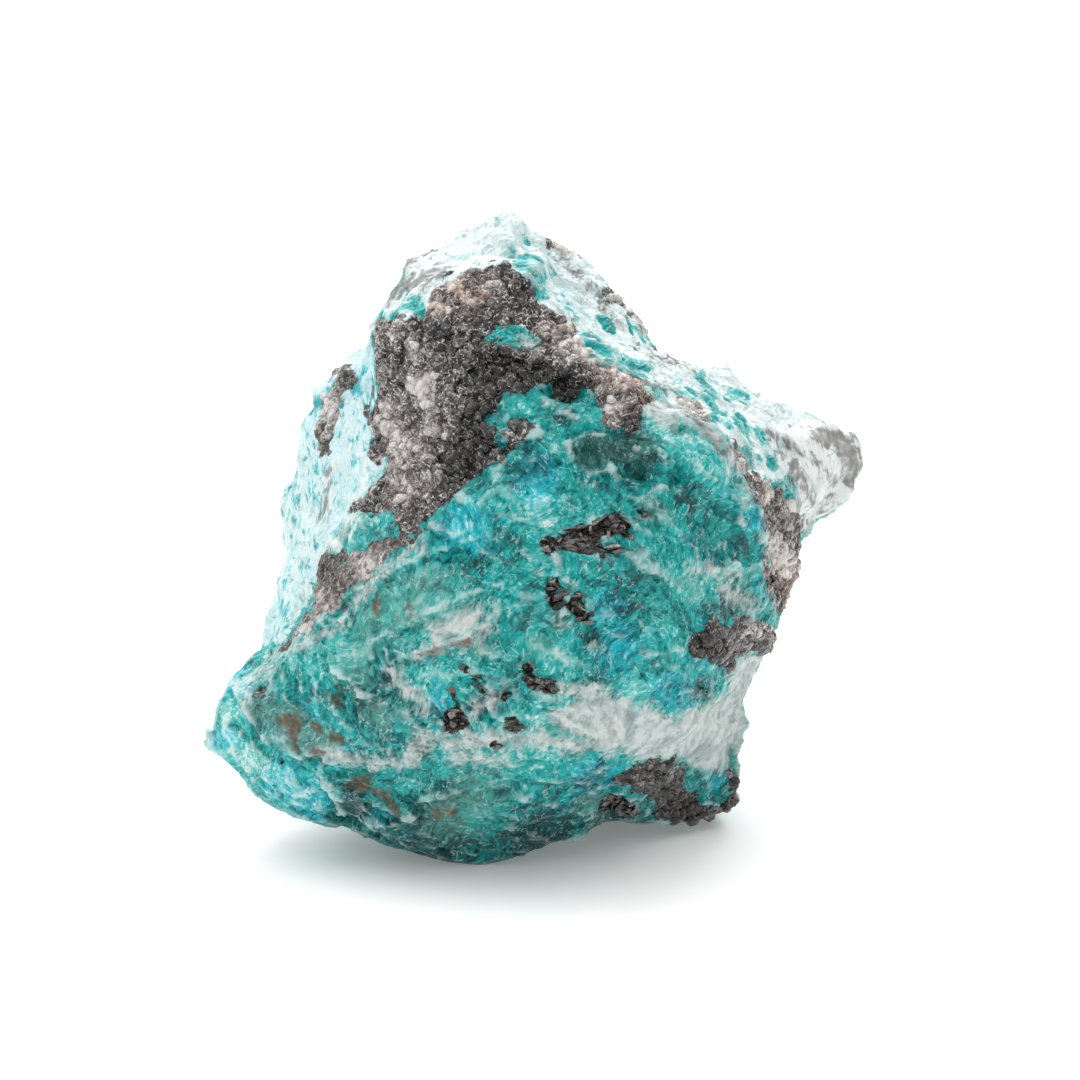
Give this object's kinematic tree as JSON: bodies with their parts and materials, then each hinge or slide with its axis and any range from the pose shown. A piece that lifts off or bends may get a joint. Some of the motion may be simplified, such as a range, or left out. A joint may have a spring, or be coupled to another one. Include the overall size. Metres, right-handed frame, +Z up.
{
  "type": "raw amazonite specimen",
  "caption": "Rough hand specimen of teal amazonite feldspar with smoky quartz and dark mica, resting on a small flat broken facet.",
  "frame": {"origin": "on the surface that the stone rests on, under the middle of its bounding box", "axes": "+Z up; -Y is the side of the broad teal cleavage face; +X is the side of the horn that sticks out; -X is the pale cleavage side with the low lobe"},
  "size_m": [0.0532, 0.044, 0.0498],
  "materials": {
    "amazonite": "rough broken feldspar: teal to turquoise cleavage flakes with milky white veins, satin to glassy",
    "smoky_quartz": "granular grey-brown smoky quartz, glassy on each grain",
    "dark_mica": "near-black mica plates with a pearly glint"
  },
  "bodies": {
    "root": {"amazonite": "amazonite"}
  },
  "joints": []
}
